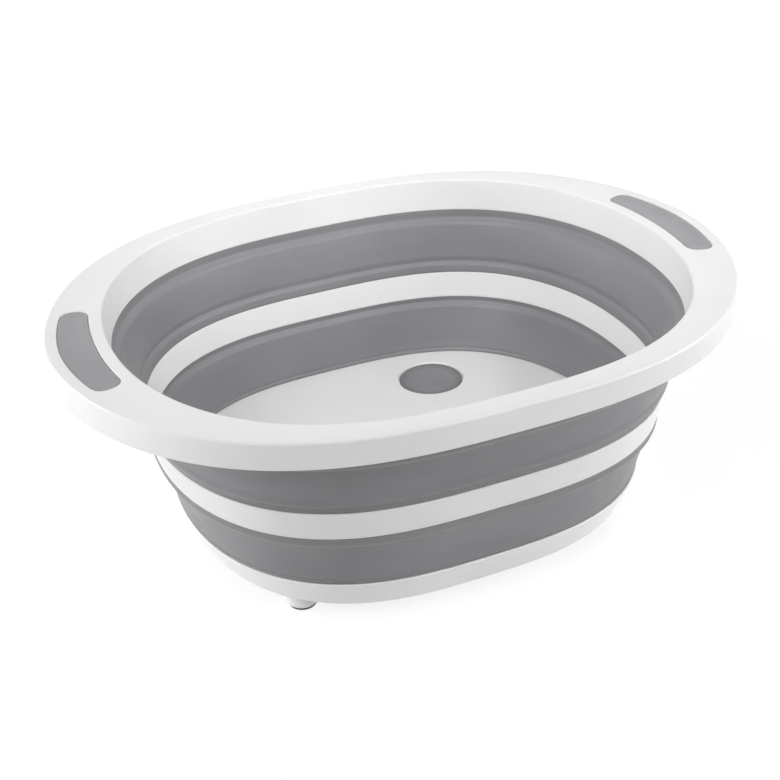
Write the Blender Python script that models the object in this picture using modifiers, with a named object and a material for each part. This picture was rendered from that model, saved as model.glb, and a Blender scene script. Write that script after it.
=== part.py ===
"""Collapsible wash basin: an oval tub of stiff white rings joined by soft grey walls that fold flat.

Metres, +Z up. The origin is on the ground under the middle of the basin, and X runs along its length.
"""
import math
from collections import namedtuple

import bmesh
import bpy
from mathutils import Matrix, Vector

# The mouth is the inner edge of the rim's top. The other ovals step in or out from it.
# Flat shares are how much flatter an oval's long sides, and then its ends, are than those of an ellipse.
MOUTH_LENGTH = 0.3142
MOUTH_WIDTH = 0.2752
MOUTH_FLAT_SHARES = (0.37, 0.05)

# Height of the whole basin and of its stiff parts, from the ground up. The soft walls take what is left.
BASIN_HEIGHT = 0.1390
FOOT_HEIGHT = 0.0116
BASE_HEIGHT = 0.0176
MID_HEIGHT = 0.0166
RIM_WALL_HEIGHT = 0.0192
LOWER_WALL_SHARE = 0.477

# Rim frame: a flat top with an inner wall and an outer skirt, open underneath
RIM_END_BAND = 0.0316
RIM_SIDE_BAND = 0.0132
RIM_FLAT_SHARES = (0.37, -0.075)
SKIRT_HEIGHT = 0.0154
SKIRT_END_FLARE = 0.0014
SKIRT_SIDE_DRAFT = 0.0024
RIM_THICKNESS = 0.0023
RIM_WALL_THICKNESS = 0.0026
RIM_END_DRAFT = 0.0022
RIM_SIDE_DRAFT = 0.0036
RIM_OUTER_FILLET = 0.0012
RIM_INNER_FILLET = 0.0012
RIM_RIB_DEPTH = 0.0085
RIM_RIB_THICKNESS = 0.0016
RIM_END_RIB_SHARES = (-0.70, -0.48, 0.48, 0.70)
RIM_SIDE_RIB_SHARES = (-0.52, -0.18, 0.18, 0.52)

# Soft walls: each leans in from the ring above it to the ring below it
UPPER_END_LEAN = 0.0130
UPPER_SIDE_LEAN = 0.0122
LOWER_END_LEAN = 0.0092
LOWER_SIDE_LEAN = 0.0083
WALL_THICKNESS = 0.0020
PANEL_INSET = 0.0011
# Along each wall: a share of its height, and the share of the panel's inset that it has there
UPPER_STEP_SHARES = ((0.0, 0.0), (0.17, 0.0), (0.22, 0.85), (0.52, 1.2),
                     (0.83, 0.85), (0.89, 0.0), (1.0, 0.0))
LOWER_STEP_SHARES = ((0.0, 0.0), (0.05, 0.0), (0.10, 0.85), (0.45, 1.2),
                     (0.81, 0.85), (0.87, 0.0), (1.0, 0.0))

# Middle ring
MID_THICKNESS = 0.0030
MID_END_DRAFT = 0.0024
MID_SIDE_DRAFT = 0.0025
MID_FLAT_SHARES = (0.48, 0.07)
MID_EDGE = 0.0005

# Base pan: a floor with a skirt that stands on four feet
BASE_END_DRAFT = 0.0067
BASE_SIDE_DRAFT = 0.0062
BASE_FLAT_SHARES = (0.46, 0.05)
BASE_EDGE = 0.0006
SKIRT_THICKNESS = 0.0024
FLOOR_DROP = 0.0006
FLOOR_THICKNESS = 0.0024
BASE_RIB_DEPTH = 0.0080
BASE_RIB_THICKNESS = 0.0016
LENGTHWISE_RIB_SHARES = (-0.42, 0.0, 0.42)
CROSSWISE_RIB_SHARES = (-0.60, -0.20, 0.20, 0.60)

# Drain and its plug
DRAIN_PLACE_SHARES = (0.378, 0.635)
PLUG_RADIUS = 0.0202
PLUG_DISC = 0.0019
PLUG_RECESS = 0.0029
PLUG_DISH = 0.0018
PLUG_RIM = 0.0009
PLUG_EDGE = 0.0005
PLUG_DISH_SHARES = (0.0, 0.4, 0.7, 0.9, 1.0)
BUNG_RADIUS = 0.0166
BUNG_TAPER = 0.0006
BUNG_DEPTH = 0.0068
BUNG_WALL = 0.0024
COLLAR_WALL = 0.0030
COLLAR_DEPTH = 0.0062

# Feet
FOOT_BEARING = math.radians(37.8)
FOOT_RADIUS = 0.0085
FOOT_EDGE_INSET = 0.0039
PAD_RADIUS = 0.0075
PAD_THICKNESS = 0.0013
PAD_STEM_RADIUS = 0.0024
PAD_STEM_LENGTH = 0.0050

# Grips let into the two ends of the rim
GRIP_LENGTH = 0.0927
GRIP_INNER_MARGIN = 0.0069
GRIP_OUTER_MARGIN = 0.0067
GRIP_END_FLAT_SHARE = 2.4
GRIP_RECESS = 0.0003
GRIP_EDGE = 0.0004
POCKET_DEPTH = 0.0026
POCKET_FLOOR = 0.0018
POCKET_BORDER = 0.0020

GAP = 0.0003
OVERRUN = 0.0010
WELD = 0.00001
SEGMENTS = 72
TURN_STEPS = 32
PAD_STEPS = 20
GRIP_STEPS = 12
FILLET_STEPS = 3

# Levels, from the ground up
BASE_BOTTOM = FOOT_HEIGHT
BASE_TOP = BASE_BOTTOM + BASE_HEIGHT
FLOOR_LEVEL = BASE_TOP - FLOOR_DROP
FLOOR_UNDERSIDE = FLOOR_LEVEL - FLOOR_THICKNESS
RIM_BOTTOM = BASIN_HEIGHT - RIM_WALL_HEIGHT
BOTH_WALLS_HEIGHT = RIM_BOTTOM - BASE_TOP - MID_HEIGHT
LOWER_WALL_HEIGHT = BOTH_WALLS_HEIGHT * LOWER_WALL_SHARE
UPPER_WALL_HEIGHT = BOTH_WALLS_HEIGHT - LOWER_WALL_HEIGHT
MID_BOTTOM = BASE_TOP + LOWER_WALL_HEIGHT
MID_TOP = MID_BOTTOM + MID_HEIGHT

# The power that draws an ellipse, and the rounds that settle an oval's radius
ELLIPSE_POWER = 2
RADIUS_ROUNDS = 12


def power(flat_share):
    """The power that draws a side or an end of this flat share."""
    return ELLIPSE_POWER * (1 + flat_share)


class Oval(namedtuple("Oval", "half_length half_width side_share end_share")):
    """The plan of every ring of the basin: an ellipse with long sides and ends made flatter or rounder."""

    def grown(self, along, across=None):
        across = along if across is None else across
        return Oval(self.half_length + along, self.half_width + across, self.side_share, self.end_share)

    def radius(self, bearing):
        """The distance to the oval on this bearing, closed in on round by round."""
        p, q = power(self.side_share), power(self.end_share)
        found = self.half_width
        for _ in range(RADIUS_ROUNDS):
            along = abs(found * math.cos(bearing) / self.half_length) ** p
            across = abs(found * math.sin(bearing) / self.half_width) ** q
            found *= (along + across) ** (-2 / (p + q))
        return found

    def reach_along(self, y):
        """How far the oval reaches along X at this Y."""
        left = 1 - min(1.0, abs(y) / self.half_width) ** power(self.end_share)
        return self.half_length * left ** (1 / power(self.side_share))

    def reach_across(self, x):
        """How far the oval reaches along Y at this X."""
        left = 1 - min(1.0, abs(x) / self.half_length) ** power(self.side_share)
        return self.half_width * left ** (1 / power(self.end_share))

    def section(self, z):
        """The oval's points at one height."""
        bearings = [2 * math.pi * step / SEGMENTS for step in range(SEGMENTS)]
        return [(self.radius(b) * math.cos(b), self.radius(b) * math.sin(b), z) for b in bearings]


def between(low, high, share):
    """The oval at a share of the way from one oval to another."""
    return Oval(*[a + (b - a) * share for a, b in zip(low, high)])


# Ovals, from the mouth outwards and then down
MOUTH = Oval(MOUTH_LENGTH / 2, MOUTH_WIDTH / 2, *MOUTH_FLAT_SHARES)
RIM_OUTER_TOP = Oval(MOUTH.half_length + RIM_END_BAND, MOUTH.half_width + RIM_SIDE_BAND, *RIM_FLAT_SHARES)
RIM_OUTER_BOTTOM = RIM_OUTER_TOP.grown(SKIRT_END_FLARE, -SKIRT_SIDE_DRAFT)
THROAT = MOUTH.grown(-RIM_END_DRAFT, -RIM_SIDE_DRAFT)
MID_INNER_TOP = Oval(THROAT.half_length - UPPER_END_LEAN,
                     THROAT.half_width - UPPER_SIDE_LEAN, *MID_FLAT_SHARES)
MID_OUTER_TOP = MID_INNER_TOP.grown(MID_THICKNESS)
MID_OUTER_BOTTOM = MID_OUTER_TOP.grown(-MID_END_DRAFT, -MID_SIDE_DRAFT)
BASE_OUTER_TOP = Oval(MID_OUTER_BOTTOM.half_length - LOWER_END_LEAN,
                      MID_OUTER_BOTTOM.half_width - LOWER_SIDE_LEAN, *BASE_FLAT_SHARES)
BASE_OUTER_BOTTOM = BASE_OUTER_TOP.grown(-BASE_END_DRAFT, -BASE_SIDE_DRAFT)
FLOOR_EDGE = BASE_OUTER_TOP.grown(-SKIRT_THICKNESS)

DRAIN_X = DRAIN_PLACE_SHARES[0] * BASE_OUTER_TOP.half_length
DRAIN_Y = DRAIN_PLACE_SHARES[1] * BASE_OUTER_TOP.half_width
FOOT_REACH = BASE_OUTER_BOTTOM.radius(FOOT_BEARING) - FOOT_EDGE_INSET - FOOT_RADIUS


def clear_scene():
    for old in list(bpy.data.objects):
        bpy.data.objects.remove(old, do_unlink=True)


def new_collection(name):
    collection = bpy.data.collections.new(name)
    bpy.context.scene.collection.children.link(collection)
    return collection


def plastic(name, colour, roughness):
    material = bpy.data.materials.new(name)
    material.use_nodes = True
    shader = material.node_tree.nodes["Principled BSDF"]
    shader.inputs["Base Color"].default_value = (*colour, 1.0)
    shader.inputs["Roughness"].default_value = roughness
    shader.inputs["Metallic"].default_value = 0.0
    return material


clear_scene()
PARTS = new_collection("collapsible_wash_basin")
CUTTERS = new_collection("cutters")
WHITE = plastic("white_polypropylene", (0.80, 0.80, 0.80), 0.38)
GREY = plastic("grey_soft_rubber", (0.22, 0.215, 0.225), 0.55)
GRIP_GREY = plastic("grey_grip_rubber", (0.34, 0.335, 0.35), 0.60)
DARK = plastic("dark_foot_rubber", (0.05, 0.05, 0.052), 0.70)


def axis_empty(name, location, parent=None):
    """An empty on a joint's axis, which carries the pieces that move with it."""
    empty = bpy.data.objects.new(name, None)
    empty.empty_display_size = FOOT_HEIGHT
    PARTS.objects.link(empty)
    attach(empty, location, parent)
    return empty


def world_place(empty):
    place = Vector((0, 0, 0))
    while empty:
        place += empty.location
        empty = empty.parent
    return place


def attach(piece, location, parent):
    """Put a piece at a place in the basin's frame, and carry it by its joint's empty."""
    piece.parent = parent
    piece.location = Vector(location) - world_place(parent)


def add_object(name, mesh, material=None, location=(0, 0, 0), parent=None):
    piece = bpy.data.objects.new(name, mesh)
    if material is None:
        piece.hide_render = True
        piece.display_type = "WIRE"
        CUTTERS.objects.link(piece)
    else:
        mesh.materials.append(material)
        PARTS.objects.link(piece)
    attach(piece, location, parent)
    return piece


def smooth(piece):
    piece.data.shade_smooth()
    piece.data.set_sharp_from_angle(angle=math.radians(35))


def skin(work, sections, ring):
    """Skin sections of equal counts. A ring joins the last one to the first, else both ends are capped."""
    rows = [[work.verts.new(point) for point in section] for section in sections]
    pairs = list(zip(rows, rows[1:]))
    if ring:
        pairs.append((rows[-1], rows[0]))
    for low, high in pairs:
        for step in range(len(low)):
            ahead = (step + 1) % len(low)
            work.faces.new((low[step], low[ahead], high[ahead], high[step]))
    if not ring:
        work.faces.new(rows[0])
        work.faces.new(rows[-1])


def loft_mesh(name, lofts, ring):
    """One or more lofts that don't touch each other, each from its own sections."""
    work = bmesh.new()
    for sections in lofts:
        skin(work, sections, ring)
    bmesh.ops.recalc_face_normals(work, faces=work.faces)
    mesh = bpy.data.meshes.new(name)
    work.to_mesh(mesh)
    work.free()
    return mesh


def boxes_mesh(name, corners):
    """Boxes that don't touch each other, each from its low corner to its high corner."""
    work = bmesh.new()
    for low, high in corners:
        low, high = Vector(low), Vector(high)
        place = Matrix.Translation((low + high) / 2) @ Matrix.Diagonal((*(high - low), 1.0))
        bmesh.ops.create_cube(work, size=1.0, matrix=place)
    mesh = bpy.data.meshes.new(name)
    work.to_mesh(mesh)
    work.free()
    return mesh


def cylinders_mesh(name, radius, low, high, centres, steps):
    """Upright cylinders of one size that don't touch each other."""
    work = bmesh.new()
    for x, y in centres:
        place = Matrix.Translation((x, y, (low + high) / 2))
        bmesh.ops.create_cone(work, cap_ends=True, segments=steps, radius1=radius, radius2=radius,
                              depth=high - low, matrix=place)
    mesh = bpy.data.meshes.new(name)
    work.to_mesh(mesh)
    work.free()
    return mesh


def turned(name, profile, material, location, parent, steps):
    """A solid of revolution. The profile runs from the axis out and down, and back to the axis."""
    mesh = bpy.data.meshes.new(name)
    points = [(radius, 0.0, z) for radius, z in profile]
    mesh.from_pydata(points, [(i, i + 1) for i in range(len(points) - 1)], [])
    piece = add_object(name, mesh, material, location, parent)
    screw = piece.modifiers.new("turn", "SCREW")
    screw.steps = steps
    screw.render_steps = steps
    screw.use_merge_vertices = True
    screw.merge_threshold = WELD
    screw.use_smooth_shade = True
    return piece


def combine(piece, other, operation, solver="EXACT"):
    boolean = piece.modifiers.new(other.name, "BOOLEAN")
    boolean.operation = operation
    boolean.solver = solver
    boolean.object = other


def fillet(radius, corner_z, steps):
    """Steps round an upper outer corner: how far in from the side, and the height."""
    turns = [math.pi / 2 * step / steps for step in range(steps + 1)]
    return [(radius * (1 - math.cos(turn)), corner_z - radius * (1 - math.sin(turn))) for turn in turns]


def rim_sections(top):
    """The rim's profile, round its inner wall, over its top and down its skirt, from its own bottom up."""
    sections = [THROAT.section(0)]
    sections += [MOUTH.grown(inset).section(z)
                 for inset, z in fillet(RIM_INNER_FILLET, top, FILLET_STEPS - 1)]
    sections += [RIM_OUTER_TOP.grown(-inset).section(z)
                 for inset, z in reversed(fillet(RIM_OUTER_FILLET, top, FILLET_STEPS))]
    skirt_bottom = top - SKIRT_HEIGHT
    sections.append(RIM_OUTER_BOTTOM.section(skirt_bottom))
    sections.append(RIM_OUTER_BOTTOM.grown(-RIM_THICKNESS).section(skirt_bottom))
    sections.append(RIM_OUTER_TOP.grown(-RIM_THICKNESS).section(top - RIM_THICKNESS))
    sections.append(MOUTH.grown(RIM_WALL_THICKNESS).section(top - RIM_THICKNESS))
    sections.append(THROAT.grown(RIM_WALL_THICKNESS).section(0))
    return sections


def rib_end(outer_faces, thickness, reach, place, half):
    """Halfway into a wall, where a rib's end lies inside it over the rib's whole height and thickness."""
    outer = min(reach(face, abs(place) + half) for face in outer_faces)
    inner = max(reach(face.grown(-thickness), abs(place) - half) for face in outer_faces)
    return (outer + inner) / 2


def rim_rib_corners(top):
    """Thin ribs across the channel under the rim, clear of where the fingers go."""
    high = top - RIM_THICKNESS / 2
    low = high - RIM_RIB_DEPTH
    half = RIM_RIB_THICKNESS / 2
    skirt_low = between(RIM_OUTER_TOP, RIM_OUTER_BOTTOM, (top - low) / SKIRT_HEIGHT)
    wall_top = MOUTH.grown(RIM_WALL_THICKNESS)
    wall_low = between(THROAT, MOUTH, low / top).grown(RIM_WALL_THICKNESS)
    corners = []
    for side in (-1, 1):
        for share in RIM_END_RIB_SHARES:
            y = share * MOUTH.half_width
            near = rib_end((wall_top, wall_low), RIM_WALL_THICKNESS, Oval.reach_along, y, half)
            far = rib_end((RIM_OUTER_TOP, skirt_low), RIM_THICKNESS, Oval.reach_along, y, half)
            ends = sorted((side * near, side * far))
            corners.append(((ends[0], y - half, low), (ends[1], y + half, high)))
        for share in RIM_SIDE_RIB_SHARES:
            x = share * MOUTH.half_length
            near = rib_end((wall_top, wall_low), RIM_WALL_THICKNESS, Oval.reach_across, x, half)
            far = rib_end((RIM_OUTER_TOP, skirt_low), RIM_THICKNESS, Oval.reach_across, x, half)
            ends = sorted((side * near, side * far))
            corners.append(((x - half, ends[0], low), (x + half, ends[1], high)))
    return corners


def grip_outline(side, spare):
    """A band that follows the rim's end, with square-round ends, grown by a spare all round."""
    half_length = GRIP_LENGTH / 2 + spare
    end_power = power(GRIP_END_FLAT_SHARE)
    near = MOUTH.grown(GRIP_INNER_MARGIN - spare)
    far = RIM_OUTER_TOP.grown(spare - GRIP_OUTER_MARGIN)
    outer, inner = [], []
    for step in range(-GRIP_STEPS, GRIP_STEPS + 1):
        share = math.sin(math.pi / 2 * step / GRIP_STEPS)
        y = half_length * share
        middle = (near.reach_along(y) + far.reach_along(y)) / 2
        half = (far.reach_along(y) - near.reach_along(y)) / 2
        half *= (1 - abs(share) ** end_power) ** (1 / end_power)
        outer.append((side * (middle + half), y))
        if abs(step) < GRIP_STEPS:
            inner.append((side * (middle - half), y))
    return outer + inner[::-1]


def plate_mesh(name, outline, low, high, edge):
    """A flat plate from a filled outline, with its edges rounded by a bevel of the curve."""
    curve = bpy.data.curves.new(name, "CURVE")
    curve.dimensions = "2D"
    curve.fill_mode = "BOTH"
    curve.extrude = (high - low) / 2 - edge
    curve.bevel_depth = edge
    curve.bevel_resolution = 1
    curve.offset = -edge
    spline = curve.splines.new("POLY")
    spline.points.add(len(outline[1:]))
    for point, (x, y) in zip(spline.points, outline):
        point.co = (x, y, 0.0, 1.0)
    spline.use_cyclic_u = True
    guide = bpy.data.objects.new(name, curve)
    bpy.context.scene.collection.objects.link(guide)
    mesh = bpy.data.meshes.new_from_object(guide.evaluated_get(bpy.context.evaluated_depsgraph_get()))
    bpy.data.objects.remove(guide)
    bpy.data.curves.remove(curve)
    work = bmesh.new()
    work.from_mesh(mesh)
    bmesh.ops.translate(work, verts=work.verts, vec=(0, 0, (low + high) / 2))
    bmesh.ops.remove_doubles(work, verts=work.verts, dist=WELD)
    bmesh.ops.recalc_face_normals(work, faces=work.faces)
    work.to_mesh(mesh)
    work.free()
    mesh.name = name
    return mesh


def add_rim(fold):
    """The rim frame with its two pockets, and the grip in each of them.

    Its ribs cross slightly twisted facets, where the exact solver can leave a joint open at some sizes.
    """
    origin = (0, 0, RIM_BOTTOM)
    top = RIM_WALL_HEIGHT
    rim = add_object("rim_frame", loft_mesh("rim_frame", [rim_sections(top)], True), WHITE, origin, fold)
    ribs = add_object("rim_ribs", boxes_mesh("rim_ribs", rim_rib_corners(top)), None, origin, fold)
    combine(rim, ribs, "UNION", "MANIFOLD")
    for side, name in ((-1, "left_grip"), (1, "right_grip")):
        pocket_level = top - POCKET_DEPTH
        tray_bottom = pocket_level - POCKET_FLOOR
        tray_mesh = plate_mesh(name + "_tray", grip_outline(side, GAP + POCKET_BORDER), tray_bottom,
                               top - RIM_THICKNESS / 2, 0)
        pocket_mesh = plate_mesh(name + "_pocket", grip_outline(side, GAP), pocket_level, top + OVERRUN, 0)
        tray = add_object(name + "_tray", tray_mesh, None, origin, fold)
        pocket = add_object(name + "_pocket", pocket_mesh, None, origin, fold)
        combine(rim, tray, "UNION", "MANIFOLD")
        combine(rim, pocket, "DIFFERENCE", "MANIFOLD")
        grip_mesh = plate_mesh(name, grip_outline(side, 0), pocket_level + GAP, top - GRIP_RECESS,
                               GRIP_EDGE)
        smooth(add_object(name, grip_mesh, GRIP_GREY, origin, fold))
    smooth(rim)
    return rim


def wall_sections(low, high, height, step_shares):
    """A soft wall's profile: up its outer face and down its inner face, stepped in along its panel."""
    half = WALL_THICKNESS / 2
    middle = []
    for share, step_in in step_shares:
        z = GAP + (height - 2 * GAP) * share
        middle.append((between(low, high, share).grown(-PANEL_INSET * step_in), z))
    outer = [oval.grown(half).section(z) for oval, z in middle]
    inner = [oval.grown(-half).section(z) for oval, z in reversed(middle)]
    return outer + inner


def add_walls(fold):
    """The two soft walls, each between the centre lines of the rings that it joins."""
    base_line = BASE_OUTER_TOP.grown(-SKIRT_THICKNESS / 2)
    mid_bottom_line = MID_OUTER_BOTTOM.grown(-MID_THICKNESS / 2)
    mid_top_line = MID_OUTER_TOP.grown(-MID_THICKNESS / 2)
    rim_line = THROAT.grown(RIM_WALL_THICKNESS / 2)
    lower = wall_sections(base_line, mid_bottom_line, LOWER_WALL_HEIGHT, LOWER_STEP_SHARES)
    upper = wall_sections(mid_top_line, rim_line, UPPER_WALL_HEIGHT, UPPER_STEP_SHARES)
    smooth(add_object("lower_wall", loft_mesh("lower_wall", [lower], True), GREY, (0, 0, BASE_TOP)))
    smooth(add_object("upper_wall", loft_mesh("upper_wall", [upper], True), GREY, (0, 0, MID_TOP), fold))


def add_mid_ring(fold):
    """The stiff band between the two soft walls, with its four edges broken."""
    top, low, edge = MID_HEIGHT, MID_OUTER_BOTTOM, MID_EDGE
    inner_top, inner_low = MID_OUTER_TOP.grown(-MID_THICKNESS), low.grown(-MID_THICKNESS)
    sections = [low.grown(-edge).section(0), low.section(edge),
                MID_OUTER_TOP.section(top - edge), MID_OUTER_TOP.grown(-edge).section(top),
                inner_top.grown(edge).section(top), inner_top.section(top - edge),
                inner_low.section(edge), inner_low.grown(edge).section(0)]
    ring = loft_mesh("mid_ring", [sections], True)
    smooth(add_object("mid_ring", ring, WHITE, (0, 0, MID_BOTTOM), fold))


def base_sections():
    """The base pan's profile, from its floor over its edge, down its skirt and back under its floor."""
    floor = FLOOR_LEVEL - BASE_BOTTOM
    underside = FLOOR_UNDERSIDE - BASE_BOTTOM
    sections = []
    for step in range(FILLET_STEPS):
        turn = math.pi / 2 * step / (FILLET_STEPS - 1)
        inset = FLOOR_DROP * (1 - math.sin(turn))
        sections.append(FLOOR_EDGE.grown(-inset).section(floor + FLOOR_DROP * (1 - math.cos(turn))))
    sections.append(BASE_OUTER_TOP.grown(-BASE_EDGE).section(BASE_HEIGHT))
    sections.append(BASE_OUTER_TOP.section(BASE_HEIGHT - BASE_EDGE))
    sections.append(BASE_OUTER_BOTTOM.section(BASE_EDGE))
    sections.append(BASE_OUTER_BOTTOM.grown(-BASE_EDGE).section(0))
    sections.append(BASE_OUTER_BOTTOM.grown(-SKIRT_THICKNESS).section(0))
    inner_top = between(BASE_OUTER_BOTTOM, BASE_OUTER_TOP, underside / BASE_HEIGHT)
    sections.append(inner_top.grown(-SKIRT_THICKNESS).section(underside))
    return sections


def base_ribs(lengthwise, shares):
    """Ribs under the floor, whose ends lean with the skirt and lie inside its thickness."""
    half = BASE_RIB_THICKNESS / 2
    ribs = []
    for share in shares:
        sections = []
        for z in (FLOOR_UNDERSIDE - BASE_RIB_DEPTH, FLOOR_UNDERSIDE + FLOOR_THICKNESS / 2):
            face = between(BASE_OUTER_BOTTOM, BASE_OUTER_TOP, (z - BASE_BOTTOM) / BASE_HEIGHT)
            if lengthwise:
                y = share * BASE_OUTER_BOTTOM.half_width
                x = rib_end((face,), SKIRT_THICKNESS, Oval.reach_along, y, half)
                sections.append([(-x, y - half, z), (x, y - half, z), (x, y + half, z), (-x, y + half, z)])
            else:
                x = share * BASE_OUTER_BOTTOM.half_length
                y = rib_end((face,), SKIRT_THICKNESS, Oval.reach_across, x, half)
                sections.append([(x - half, -y, z), (x + half, -y, z), (x + half, y, z), (x - half, y, z)])
        ribs.append(sections)
    return ribs


def foot_centres():
    x = FOOT_REACH * math.cos(FOOT_BEARING)
    y = FOOT_REACH * math.sin(FOOT_BEARING)
    return [(-x, -y), (x, -y), (x, y), (-x, y)]


def add_base():
    """The base pan with its ribs, its four foot stubs and the drain's collar, hole and recess."""
    pan = loft_mesh("base_pan", [base_sections()], False)
    base = add_object("base_pan", pan, WHITE, (0, 0, BASE_BOTTOM))
    lengthwise = loft_mesh("lengthwise_ribs", base_ribs(True, LENGTHWISE_RIB_SHARES), False)
    crosswise = loft_mesh("crosswise_ribs", base_ribs(False, CROSSWISE_RIB_SHARES), False)
    combine(base, add_object("lengthwise_ribs", lengthwise), "UNION")
    combine(base, add_object("crosswise_ribs", crosswise), "UNION")
    inside_floor = FLOOR_UNDERSIDE + FLOOR_THICKNESS / 2
    stub_low = PAD_THICKNESS + GAP
    stubs = cylinders_mesh("foot_stubs", FOOT_RADIUS, stub_low, inside_floor, foot_centres(), TURN_STEPS)
    combine(base, add_object("foot_stubs", stubs), "UNION")
    recess_radius = PLUG_RADIUS + GAP
    drain = [(DRAIN_X, DRAIN_Y)]
    collar = cylinders_mesh("drain_collar", recess_radius + COLLAR_WALL, FLOOR_UNDERSIDE - COLLAR_DEPTH,
                            inside_floor, drain, TURN_STEPS)
    combine(base, add_object("drain_collar", collar), "UNION")
    recess = cylinders_mesh("drain_recess", recess_radius, FLOOR_LEVEL - PLUG_RECESS,
                            FLOOR_LEVEL + OVERRUN, drain, TURN_STEPS)
    combine(base, add_object("drain_recess", recess), "DIFFERENCE")
    hole = cylinders_mesh("drain_hole", BUNG_RADIUS + GAP, FLOOR_UNDERSIDE - COLLAR_DEPTH - OVERRUN,
                          FLOOR_LEVEL + OVERRUN, drain, TURN_STEPS)
    combine(base, add_object("drain_hole", hole), "DIFFERENCE")
    sockets = cylinders_mesh("pad_sockets", PAD_STEM_RADIUS + GAP, PAD_THICKNESS - OVERRUN,
                             PAD_THICKNESS + PAD_STEM_LENGTH + GAP, foot_centres(), PAD_STEPS)
    combine(base, add_object("pad_sockets", sockets), "DIFFERENCE")
    smooth(base)
    return base


def add_feet():
    """A rubber pad under each stub, held by a stem pressed into the stub's socket."""
    profile = [(0, PAD_THICKNESS + PAD_STEM_LENGTH), (PAD_STEM_RADIUS, PAD_THICKNESS + PAD_STEM_LENGTH),
               (PAD_STEM_RADIUS, PAD_THICKNESS), (PAD_RADIUS, PAD_THICKNESS),
               (PAD_RADIUS, GAP), (PAD_RADIUS - GAP, 0), (0, 0)]
    names = ("front_left_foot", "front_right_foot", "back_right_foot", "back_left_foot")
    for name, (x, y) in zip(names, foot_centres()):
        turned(name, profile, DARK, (x, y, 0), None, PAD_STEPS)


def add_plug(pull):
    """The drain plug: a dished disc over a hollow tapered bung."""
    under_disc = GAP - PLUG_RECESS
    top = under_disc + PLUG_DISC
    bung_low = under_disc - BUNG_DEPTH
    bung_tip = BUNG_RADIUS - BUNG_TAPER
    dish_reach = PLUG_RADIUS - PLUG_RIM
    profile = [(dish_reach * share, top - PLUG_DISH * (1 - share ** 2)) for share in PLUG_DISH_SHARES]
    profile += [(PLUG_RADIUS, top - PLUG_EDGE), (PLUG_RADIUS, under_disc), (BUNG_RADIUS, under_disc),
                (BUNG_RADIUS, under_disc - BUNG_DEPTH / 2), (bung_tip, bung_low),
                (bung_tip - BUNG_WALL, bung_low), (bung_tip - BUNG_WALL, under_disc),
                (0, under_disc - PLUG_DISH)]
    turned("drain_plug", profile, GREY, (DRAIN_X, DRAIN_Y, FLOOR_LEVEL), pull, TURN_STEPS)


def build_basin():
    """Every piece, carried by the empty of the joint that moves it."""
    lower_fold = axis_empty("lower_fold_axis", (0, 0, MID_BOTTOM))
    upper_fold = axis_empty("upper_fold_axis", (0, 0, RIM_BOTTOM), lower_fold)
    plug_pull = axis_empty("plug_pull_axis", (DRAIN_X, DRAIN_Y, FLOOR_LEVEL))
    add_base()
    add_feet()
    add_plug(plug_pull)
    add_walls(lower_fold)
    add_mid_ring(lower_fold)
    add_rim(upper_fold)


build_basin()
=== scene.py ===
"""The looks of a collapsible wash basin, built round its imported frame. Metres, +Z up."""
import math
from collections import namedtuple

import bmesh
import bpy
from mathutils import Matrix, Vector


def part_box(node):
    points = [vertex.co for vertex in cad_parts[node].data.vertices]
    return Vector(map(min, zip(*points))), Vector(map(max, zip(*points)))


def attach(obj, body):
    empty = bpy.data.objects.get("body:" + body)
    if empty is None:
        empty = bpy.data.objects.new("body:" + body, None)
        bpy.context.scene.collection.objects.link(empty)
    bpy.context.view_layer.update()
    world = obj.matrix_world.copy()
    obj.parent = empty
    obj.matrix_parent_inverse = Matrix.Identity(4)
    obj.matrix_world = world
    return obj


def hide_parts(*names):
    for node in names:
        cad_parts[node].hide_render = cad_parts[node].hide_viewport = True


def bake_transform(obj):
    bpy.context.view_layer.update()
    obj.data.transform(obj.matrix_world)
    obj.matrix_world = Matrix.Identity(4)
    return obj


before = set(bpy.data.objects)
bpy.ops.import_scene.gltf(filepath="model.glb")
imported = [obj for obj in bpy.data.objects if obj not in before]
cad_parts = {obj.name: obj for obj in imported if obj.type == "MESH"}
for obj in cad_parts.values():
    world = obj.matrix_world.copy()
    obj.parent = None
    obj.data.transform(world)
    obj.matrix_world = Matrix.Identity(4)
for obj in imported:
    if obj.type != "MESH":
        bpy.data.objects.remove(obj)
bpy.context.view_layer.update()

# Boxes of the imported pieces, which give the levels and the reach of every ring
RIM_LOW, RIM_HIGH = (Vector(corner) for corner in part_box("rim_frame"))
MID_LOW, MID_HIGH = (Vector(corner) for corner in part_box("mid_ring"))
BASE_LOW, BASE_HIGH = (Vector(corner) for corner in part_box("base_pan"))
PLUG_LOW, PLUG_HIGH = (Vector(corner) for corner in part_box("drain_plug"))
GRIP_LOW, GRIP_HIGH = (Vector(corner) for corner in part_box("right_grip"))
FOOT_NAMES = ("front_left_foot", "front_right_foot", "back_right_foot", "back_left_foot")

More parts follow.
